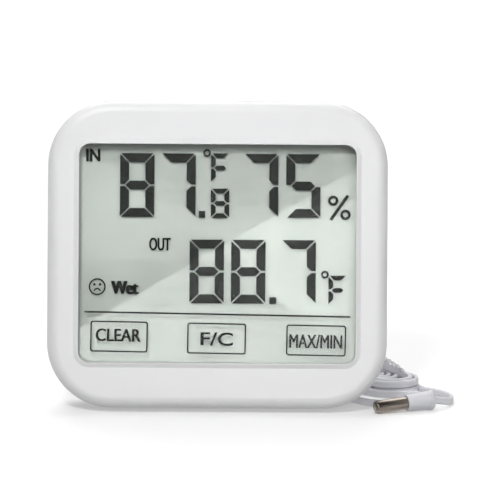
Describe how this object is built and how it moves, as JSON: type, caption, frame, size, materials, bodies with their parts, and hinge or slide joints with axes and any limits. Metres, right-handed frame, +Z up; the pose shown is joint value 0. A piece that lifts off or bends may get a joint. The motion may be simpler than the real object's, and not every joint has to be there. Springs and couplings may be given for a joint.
{
  "type": "maximum minimum thermometer",
  "caption": "Digital indoor and outdoor maximum minimum thermometer with humidity, touch display, fold-out foot and a steel probe on a wound lead.",
  "frame": {"origin": "on the surface the thermometer stands on, midway across its width and midway between the front of the case and the tip of the open foot", "axes": "+X to the viewer's right across the case, +Y backwards, away from the viewer, +Z up; the case leans back 9 degrees on its open foot"},
  "size_m": [0.1263, 0.0646, 0.0942],
  "materials": {
    "case_white": "satin moulded ABS",
    "panel_clear": "clear acrylic",
    "film_clear": "clear film",
    "display_glass": "clear float glass",
    "display_polarizer": "grey-green polarising film",
    "display_reflector": "grey-green reflecting film",
    "display_ink": "darkened liquid crystal",
    "key_ink": "black print",
    "seal_clear": "edge seal",
    "tape_black": "adhesive tape",
    "holder_white": "plain moulded ABS",
    "zebra_rubber": "layered silicone rubber",
    "board_green": "green solder mask on fibreglass",
    "epoxy_black": "black epoxy",
    "crystal_can": "nickel-plated can",
    "chip_body": "ceramic chips with tinned ends",
    "sensor_housing": "moulded housing",
    "bead_epoxy": "epoxy-coated bead",
    "connector_white": "natural nylon",
    "cord_white": "soft white PVC",
    "screw_steel": "zinc-plated steel",
    "battery_jacket": "printed sleeve",
    "contact_nickel": "nickel-plated spring steel",
    "wire_insulation": "coloured PVC",
    "gland_rubber": "white rubber",
    "tie_clear": "translucent plastic over wire",
    "probe_steel": "polished stainless steel",
    "sleeve_white": "moulded soft plastic",
    "potting_epoxy": "filled epoxy"
  },
  "bodies": {
    "case": {"front_bezel": "case_white", "rear_cover": "case_white", "case_screws": "screw_steel", "lens_tape": "tape_black", "touch_lens": "panel_clear", "key_print": "key_ink", "touch_film": "film_clear", "lcd_front_polarizer": "display_polarizer", "lcd_front_glass": "display_glass", "lcd_segments": "display_ink", "lcd_seal": "seal_clear", "lcd_rear_glass": "display_glass", "lcd_rear_reflector": "display_reflector", "lcd_holder": "holder_white", "zebra_strip": "zebra_rubber", "main_board": "board_green", "board_screws": "screw_steel", "mcu_blob": "epoxy_black", "crystal": "crystal_can", "chip_parts": "chip_body", "humidity_sensor": "sensor_housing", "room_thermistor": "bead_epoxy", "probe_socket": "connector_white", "probe_plug": "connector_white", "probe_lead_inside": "cord_white", "battery_upper": "battery_jacket", "battery_lower": "battery_jacket", "battery_bridge": "contact_nickel", "battery_plus_contact": "contact_nickel", "battery_minus_contact": "contact_nickel", "battery_leads": "wire_insulation", "cord_gland": "gland_rubber", "cord_lead": "cord_white", "cord_hank": "cord_white", "cord_tail": "cord_white", "cord_tie": "tie_clear", "probe_sleeve": "sleeve_white", "probe_cap": "probe_steel", "probe_thermistor": "bead_epoxy", "probe_potting": "potting_epoxy"},
    "foot": {"kickstand": "case_white"},
    "door": {"battery_door": "case_white"}
  },
  "joints": [
    {"name": "foot_hinge", "type": "hinge", "parent": "case", "child": "foot", "pos_m": [0, -0.00296, 0.005], "axis": [1, 0, 0], "range_deg": [0, 87.6]},
    {"name": "door_hinge", "type": "hinge", "parent": "case", "child": "door", "pos_m": [0, 0.00441, 0.04382], "axis": [-1, 0, 0], "range_deg": [0, 80]}
  ]
}
